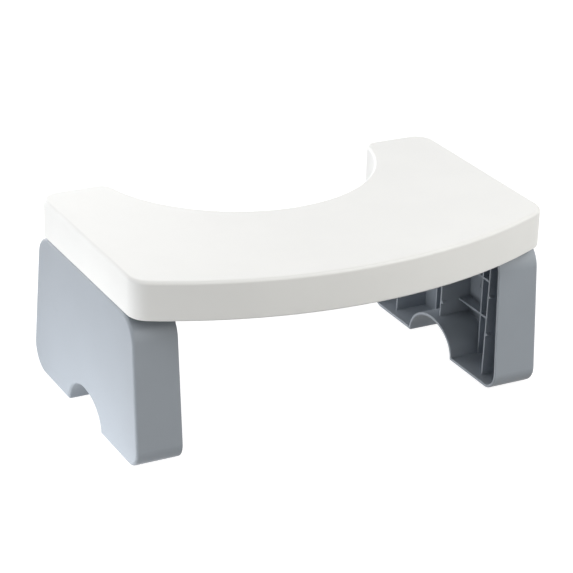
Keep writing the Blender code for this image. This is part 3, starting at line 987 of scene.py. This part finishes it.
@dataclass
class Leg:
    """One folding leg: closed outside, open and ribbed inside, with an arch over the floor.

    The right leg is shaped, and the left one is its mirror image.
    """

    side: Side
    material: bpy.types.Material
    shop: Shop
    deck_half: float
    deck_front_y: float
    deck_rim_z: float
    parting: float = 0.0015              # dark line between the deck's rim and the leg's top
    inset: float = 0.0006
    setback: float = 0.04785
    front_lean: float = 0.0119
    back_lean: float = 0.02085
    foot_length: float = 0.26455
    depth_top: float = 0.0461
    depth_sole: float = 0.0488
    sole_z: float = 0.0008
    wall: float = 0.003
    edge_radius: float = 0.003
    rim_radius: float = 0.0008
    corners: tuple[float, ...] = (0.019, 0.027, 0.0245, 0.027)
    arch_half: float = 0.041
    arch_height: float = 0.030
    arch_forward: float = 0.0029
    arch_foot: float = math.radians(9)
    rib: float = 0.0022
    end_bay: float = 0.0278
    bays: int = 4
    deep_recess: float = 0.009
    shallow_depth: float = 0.0135
    shelves: tuple[float, ...] = (0.050, 0.092, 0.134)
    nib_height: float = 0.004
    nib_reach: float = 0.004
    nib_depth: float = 0.005
    nib_edge: float = 0.0005
    draft: float = 0.00015
    rib_edge: float = 0.0007
    eye_radius: float = 0.006
    ear_thickness: float = 0.006
    bore_radius: float = 0.0028
    bore_half: float = 0.006
    notch_reach: float = 0.02
    notch_half: float = 0.0084
    notch_clearance: float = 0.001
    notch_depth: float = 0.0045
    pad_fit: float = 0.0003
    mark_radius: float = 0.0025
    mark_depth: float = 0.00035

    def __post_init__(self) -> None:
        """Work out the leg's main places, for the right side."""
        self.top_z = self.deck_rim_z - self.parting
        self.outer_x = self.deck_half - self.inset
        self.wall_x = self.outer_x - self.wall
        self.foot_front = self.deck_front_y + self.setback
        self.foot_back = self.foot_front + self.foot_length
        self.top_front = self.foot_front + self.front_lean
        self.top_back = self.foot_back - self.back_lean
        self.arch_y = (self.foot_front + self.foot_back) / 2 - self.arch_forward
        lean = (self.depth_sole - self.depth_top) / (self.top_z - self.sole_z)
        self.rim = Level(self.outer_x - self.depth_sole - lean * self.sole_z, lean)
        pitch = (self.top_back - self.top_front - 2 * self.end_bay) / self.bays
        rib_ys = [self.top_front + self.end_bay + i * pitch for i in range(self.bays + 1)]
        self.deep = [Band(0, y, self.rib / 2) for y in rib_ys[0::2]]
        self.shallow = [Band(0, y, self.rib / 2) for y in rib_ys[1::2]]
        self.shelf_bands = [Band(1, z, self.rib / 2) for z in self.shelves]
        self.pivots = [hinge_place(Side.RIGHT, end) for end in End]

    @property
    def body(self) -> str:
        """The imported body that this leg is."""
        return f"{self.side.word}_leg"

    def outline(self) -> list[Point]:
        """Draw the leg as seen from outside, with its floor arch.

        Returns:
            Its points as (y, z), anticlockwise.
        """
        corners = [(self.foot_front, self.sole_z), (self.foot_back, self.sole_z),
                   (self.top_back, self.top_z), (self.top_front, self.top_z)]
        rounded = rounded_polygon(corners, list(self.corners), CORNER_FACETS)
        radii = (self.arch_half, self.arch_height)
        curve = arc((self.arch_y, self.sole_z), radii, math.pi - self.arch_foot, self.arch_foot, ARCH_FACETS)
        ends = [(self.arch_y - self.arch_half, self.sole_z), (self.arch_y + self.arch_half, self.sole_z)]
        return rounded[0] + ends[:1] + curve + ends[1:] + rounded[1] + rounded[2] + rounded[3]

    def shell(self) -> bmesh.types.BMesh:
        """Shape the wall, the ribs and the shelves, for the right side.

        Returns:
            The mesh of the leg without its hinges.
        """
        m = Moulding(self.outline(), self.rim, self.outer_x)
        m.form_wall(self.edge_radius, self.rim_radius, self.wall)
        deep = self.rim.deeper(self.deep_recess)
        m.sink(m.inside(m.rim), deep, self.draft)
        m.score_bands(deep, self.deep)
        bays = [f for f in m.inside(deep) if not any(b.holds(f) for b in self.deep)]
        shallow = Level(self.wall_x - self.shallow_depth)
        low_bands = self.shallow + self.shelf_bands
        m.sink(bays, shallow, self.draft)
        m.score_bands(shallow, low_bands)
        cells = [f for f in m.inside(shallow) if not any(b.holds(f) for b in low_bands)]
        m.sink(cells, Level(self.wall_x), self.draft)
        m.ease_ribs(self.rib_edge)
        return m.bm

    def nibs(self) -> bmesh.types.BMesh:
        """Shape the small nibs on the front of the deep ribs' edges, level with the shelves.

        Returns:
            Their mesh.
        """
        half = self.nib_height / 2
        tools = []
        for band in self.deep:
            front = band.middle - self.rib / 2 + self.draft
            for z in self.shelves:
                low = self.rim.at(Vector((0, z))) + self.deep_recess + self.rib_edge / 2
                corners = [(band.middle, z - half), (band.middle, z + half), (front, z + half),
                           (front - self.nib_reach, z), (front, z - half)]
                tools.append(along_x(prism(corners, low, low + self.nib_depth, self.nib_edge)))
        return merged(tools)

    def ears(self) -> bmesh.types.BMesh:
        """Shape the two thick ears that turn on the pins.

        Returns:
            Their mesh, from inside the outer wall to round the pins.
        """
        half = self.ear_thickness / 2
        high = self.wall_x + self.wall / 2
        tools = []
        for pivot in self.pivots:
            eye = arc((pivot.x, pivot.z), self.eye_radius, QUARTER_TURN, 3 * QUARTER_TURN, EYE_FACETS)
            outline = eye + [(high, eye[-1][1]), (high, eye[0][1])]
            tools.append(along_y(prism(outline, pivot.y - half, pivot.y + half, HINGE_EDGE)))
        return merged(tools)

    def notches(self) -> bmesh.types.BMesh:
        """Shape the openings in the top wall for the deck's lugs.

        Returns:
            The blocks that cut them.
        """
        outward, half = self.eye_radius + self.notch_clearance, self.notch_half
        return merged([block(p.x - self.notch_reach, p.y - half, p.x + outward, p.y + half,
                             self.top_z - self.notch_depth, self.top_z + OVERCUT) for p in self.pivots])

    def ejector_marks(self) -> bmesh.types.BMesh:
        """Shape the shallow round marks that the mould's ejector pins leave inside the outer wall.

        Returns:
            The discs that cut them.
        """
        ribs = sorted(b.middle for b in self.deep + self.shallow)
        levels = [(a + b) / 2 for a, b in zip(self.shelves, self.shelves[1:])]
        tools = []
        for front, back in zip(ribs, ribs[1:]):
            for z in levels:
                tools.append(along_x(disc((front + back) / 2, z, self.mark_radius, self.wall_x - OVERCUT,
                                          self.wall_x + self.mark_depth)))
        return merged(tools)

    def pad_recesses(self) -> bmesh.types.BMesh:
        """The blocks that cut the recesses for the rubber pads into the sole."""
        return merged([pad_block(Side.RIGHT, end, self.pad_fit, OVERCUT) for end in End])

    def build(self) -> None:
        """Make the leg and hang it up."""
        shell = along_x(self.shell())
        bores = rods(self.pivots, self.bore_radius, self.bore_half)
        tools = [(Join.ADD, self.nibs()), (Join.CUT, self.notches()), (Join.ADD, self.ears()),
                 (Join.CUT, self.pad_recesses()), (Join.CUT, self.ejector_marks()), (Join.CUT, bores)]
        mirror = Matrix.Scale(self.side.value, 4, (1, 0, 0))
        for bm in [shell] + [tool for _, tool in tools]:
            turned(bm, mirror)
        obj = self.shop.object_from(f"{self.side.word}_leg_moulding", shell)
        self.shop.work(obj, tools)
        self.shop.finish(obj, self.material, "leg_grey", self.body, [self.body])


@dataclass
class HingePin:
    """A short steel pin with a low rounded head at each end."""

    side: Side
    end: End
    material: bpy.types.Material
    shop: Shop
    head: float = 0.0012
    head_edge: float = 0.0006
    shank_radius: float = 0.0025
    dimple_radius: float = 0.0012
    dimple_depth: float = 0.0003
    dimple_bend: Point = (0.7, 0.8)      # where its side bends, as shares of its radius and depth
    under_head: float = 0.0002

    def profile(self) -> list[Point]:
        """Draw half the pin's outline, from its middle to the end's centre.

        Returns:
            Its points as (radius, height).
        """
        low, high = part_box(f"{self.side.word}_{self.end.value}_hinge_pin")
        half, radius = (high.y - low.y) / 2, (high.x - low.x) / 2
        centre = (radius - self.head_edge, half - self.head_edge)
        edge = arc(centre, self.head_edge, 0, QUARTER_TURN, HEAD_FACETS)
        bend = (self.dimple_radius * self.dimple_bend[0], half - self.dimple_depth * self.dimple_bend[1])
        dimple = [(self.dimple_radius, half), bend, (0.0, half - self.dimple_depth)]
        seat = half - self.head
        shank = [(self.shank_radius, 0.0), (self.shank_radius, seat), (radius - self.under_head, seat),
                 (radius, seat + self.under_head)]
        return shank + edge + dimple

    def build(self) -> None:
        """Turn the pin and hang it up."""
        bm = bmesh.new()
        half = self.profile()
        points = [(r, -h) for r, h in reversed(half)] + half[1:]
        verts = [bm.verts.new((r, 0, h)) for r, h in points]
        edges = [bm.edges.new(pair) for pair in zip(verts, verts[1:])]
        bmesh.ops.spin(bm, geom=verts + edges, cent=(0, 0, 0), axis=(0, 0, 1), angle=FULL_TURN,
                       steps=TURN_FACETS, use_merge=True)
        bmesh.ops.remove_doubles(bm, verts=bm.verts, dist=WELD_DISTANCE)
        bmesh.ops.recalc_face_normals(bm, faces=bm.faces)
        lying = Matrix.Rotation(QUARTER_TURN, 3, "X")
        bmesh.ops.rotate(bm, cent=(0, 0, 0), matrix=lying, verts=bm.verts)
        bmesh.ops.translate(bm, verts=bm.verts, vec=hinge_place(self.side, self.end))
        name = f"{self.side.word}_{self.end.value}"
        obj = self.shop.object_from(f"{name}_turned_pin", bm)
        self.shop.finish(obj, self.material, "pin_steel", "deck", [f"{name}_hinge_pin"])


@dataclass
class FootPad:
    """A rubber pad let into the sole, with cross grooves for grip."""

    side: Side
    end: End
    material: bpy.types.Material
    shop: Shop
    edge: float = 0.0003
    groove: float = 0.0012
    groove_depth: float = 0.0005
    groove_count: int = 9
    border: float = 0.0025

    def build(self) -> None:
        """Make the pad and hang it up."""
        name = f"{self.side.word}_{self.end.value}"
        bm = pad_block(self.side, self.end)
        low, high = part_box(f"{name}_foot_pad")
        for z in (low.z, high.z):
            round_edges(bm, [e for e in bm.edges if Level(z).holds(e.verts)], self.edge, RIM_FACETS)
        obj = self.shop.object_from(f"{name}_grip_pad", bm)
        pitch = (high.y - low.y - 2 * self.border) / self.groove_count
        grooves = []
        for i in range(self.groove_count):
            y = low.y + self.border + (i + 0.5) * pitch
            grooves.append(block(low.x + self.border, y - self.groove / 2, high.x - self.border,
                                 y + self.groove / 2, low.z - OVERCUT, low.z + self.groove_depth))
        self.shop.work(obj, [(Join.CUT, merged(grooves))])
        leg = f"{self.side.word}_leg"
        self.shop.finish(obj, self.material, "pad_rubber", leg, [f"{name}_foot_pad"])


# Studio


@dataclass(frozen=True)
class SoftBox:
    """A square studio light that faces the stool."""

    name: str
    towards: Triple          # direction from the stool to the light
    distance: float
    size: float
    level: float             # brightness that it gives a white face turned towards it
    tint: Colour

    def hang(self, aim: Vector) -> None:
        """Put the light up.

        Args:
            aim: The point that it faces.
        """
        light = bpy.data.lights.new(self.name, "AREA")
        light.shape = "SQUARE"
        light.size = self.size
        light.energy = self.level * (math.pi * self.distance) ** 2
        light.color = self.tint
        obj = bpy.data.objects.new(self.name, light)
        away = Vector(self.towards).normalized()
        obj.location = aim + away * self.distance
        obj.rotation_euler = away.to_track_quat("Z", "Y").to_euler()
        obj.visible_camera = False
        bpy.context.scene.collection.objects.link(obj)


@dataclass
class Studio:
    """The pale floor, the soft lights and the camera at the photograph's angle."""

    floor_material: bpy.types.Material
    shop: Shop
    camera_place: Triple = (-0.95155, -1.74796, 0.99744)
    azimuth: float = math.radians(-28.236)
    elevation: float = math.radians(24.035)
    roll: float = math.radians(1.713)
    lens: float = 135.534
    sensor: float = 36.0
    floor_half: float = 9.0
    floor_squares: int = 8
    surround: float = 1.0
    lights: tuple[SoftBox, ...] = (
        SoftBox("left_high", (-0.8, 0.0, 0.6), 1.6, 1.4, 0.54, (0.99, 0.998, 1.0)),
        SoftBox("left_floor_glow", (-1.0, -0.05, -0.5), 0.45, 0.3, 0.54, (0.985, 0.997, 1.0)),
        SoftBox("back_left_low", (-0.5, 0.85, 0.15), 1.6, 1.2, 0.46, (1.0, 1.0, 1.0)),
        SoftBox("back_low", (0.0, 1.0, 0.15), 1.6, 1.2, 0.46, (1.0, 1.0, 1.0)),
        SoftBox("back_right_high", (0.5, 0.5, 0.6), 1.6, 1.4, 0.24, (1.0, 1.0, 1.0)),
        SoftBox("front_low", (0.0, -1.0, -0.1), 1.6, 1.2, 0.23, (1.0, 0.992, 0.955)),
        SoftBox("front_high", (0.0, -0.75, 0.7), 1.6, 1.4, 0.21, (1.0, 0.992, 0.955)),
        SoftBox("front_right_high", (0.55, -0.6, 0.6), 1.6, 1.4, 0.59, (1.0, 0.992, 0.955)),
        SoftBox("right_side", (1.0, -0.15, 0.3), 1.6, 1.4, 0.14, (1.0, 0.998, 0.985)),
    )

    def lay_floor(self) -> None:
        """Lay a floor that shows in reflections, but lets light from below through and casts no shade."""
        bm = bmesh.new()
        bmesh.ops.create_grid(bm, x_segments=self.floor_squares, y_segments=self.floor_squares,
                              size=self.floor_half)
        obj = self.shop.object_from("studio_floor", bm)
        obj.data.materials.append(self.floor_material)
        obj.visible_diffuse = False
        obj.visible_shadow = False

    def set_surround(self) -> None:
        """Surround the stage with plain white, which shows in reflections but sheds no light."""
        world = bpy.data.worlds.new("white_surround")
        world.use_nodes = True
        background = world.node_tree.nodes["Background"]
        background.inputs["Color"].default_value = (1.0, 1.0, 1.0, 1.0)
        background.inputs["Strength"].default_value = self.surround
        world.cycles_visibility.diffuse = False
        bpy.context.scene.world = world

    def set_camera(self) -> None:
        """Set the camera up as the photograph's stood."""
        camera = bpy.data.cameras.new("studio_camera")
        camera.lens = self.lens
        camera.sensor_width = self.sensor
        obj = bpy.data.objects.new("studio_camera", camera)
        flat = math.cos(self.elevation)
        back = Vector((math.sin(self.azimuth) * flat, -math.cos(self.azimuth) * flat,
                       math.sin(self.elevation)))
        right = (-back).cross(Vector((0, 0, 1))).normalized()
        up = right.cross(-back)
        across = right * math.cos(self.roll) + up * math.sin(self.roll)
        upright = up * math.cos(self.roll) - right * math.sin(self.roll)
        turn = Matrix((across, upright, back)).transposed().to_4x4()
        obj.matrix_world = Matrix.Translation(self.camera_place) @ turn
        bpy.context.scene.collection.objects.link(obj)
        bpy.context.scene.camera = obj

    def build(self) -> None:
        """Set the whole stage."""
        self.lay_floor()
        self.set_surround()
        middle = (Vector(CAD_BOX[0]) + Vector(CAD_BOX[1])) / 2
        for light in self.lights:
            light.hang(middle)
        self.set_camera()
        bpy.context.scene.view_settings.view_transform = "Standard"


def main() -> None:
    """Build the deck, the legs, the pins, the pads and the studio."""
    logging.basicConfig(level=logging.INFO, format="%(name)s %(message)s")
    shop = Shop()
    white = MouldedPlastic("white_moulded_plastic", colour=(0.83, 0.83, 0.822), roughness=0.42, mottle=0.02,
                           grain_depth=0.000025, edge_wear_and_highlight=0.3, scuffs=0.05).material()
    grey = MouldedPlastic("blue_grey_moulded_plastic", colour=(0.312, 0.344, 0.387), roughness=0.45,
                          mottle=0.04, grain_depth=0.00003, edge_wear_and_highlight=0.35, scuffs=0.06).material()
    steel = TurnedSteel("zinc_bright_steel", colour=(0.62, 0.62, 0.63), roughness=0.22).material()
    rubber = GripRubber("dark_grip_rubber", colour=(0.022, 0.022, 0.024), dust=(0.16, 0.155, 0.15),
                        roughness=0.72).material()
    floor = StudioFloor("pale_studio_floor", glow=0.93, pale=0.25).material()
    deck = Deck(white, shop)
    deck.build()
    for side in Side:
        Leg(side, grey, shop, deck.half, deck.front_y, deck.rim_z).build()
        for end in End:
            HingePin(side, end, steel, shop).build()
            FootPad(side, end, rubber, shop).build()
    Studio(floor, shop).build()


if __name__ == "__main__":
    main()
